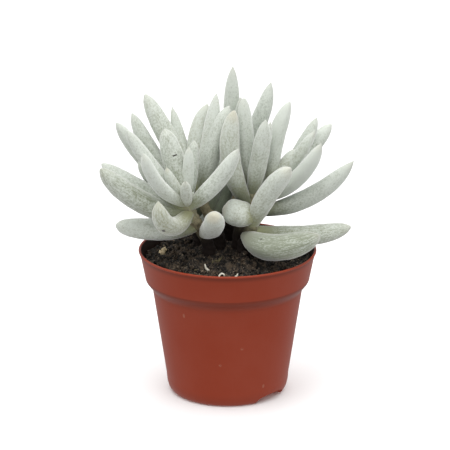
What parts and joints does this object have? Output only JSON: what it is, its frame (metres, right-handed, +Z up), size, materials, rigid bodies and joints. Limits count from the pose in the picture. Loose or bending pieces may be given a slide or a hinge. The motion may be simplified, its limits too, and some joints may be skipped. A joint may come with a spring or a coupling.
{
  "type": "potted senecio",
  "caption": "Succulent with pale felted spindle leaves in loose rosettes on short stems, in dark peat in a round tapering nursery pot with a deep band under its rim.",
  "frame": {"origin": "centre of the pot's underside, on the flat disc it stands on", "axes": "+Z up along the pot's axis; the best side, with the lowest leaf lying on the rim to its right, faces -Y; +X to the right"},
  "size_m": [0.1193, 0.0978, 0.154],
  "materials": {
    "pot": "satin terracotta-coloured polypropylene",
    "soil": "dark damp peat, dull and crumbly",
    "leaves": "pale grey-green, covered in short white felt"
  },
  "bodies": {
    "root": {"pot": "pot", "soil": "soil", "stem_left_front": "leaves", "stem_left_back": "leaves", "stem_centre_left": "leaves", "stem_centre": "leaves", "stem_right_front": "leaves", "stem_right_back": "leaves", "stem_back": "leaves"}
  },
  "joints": []
}
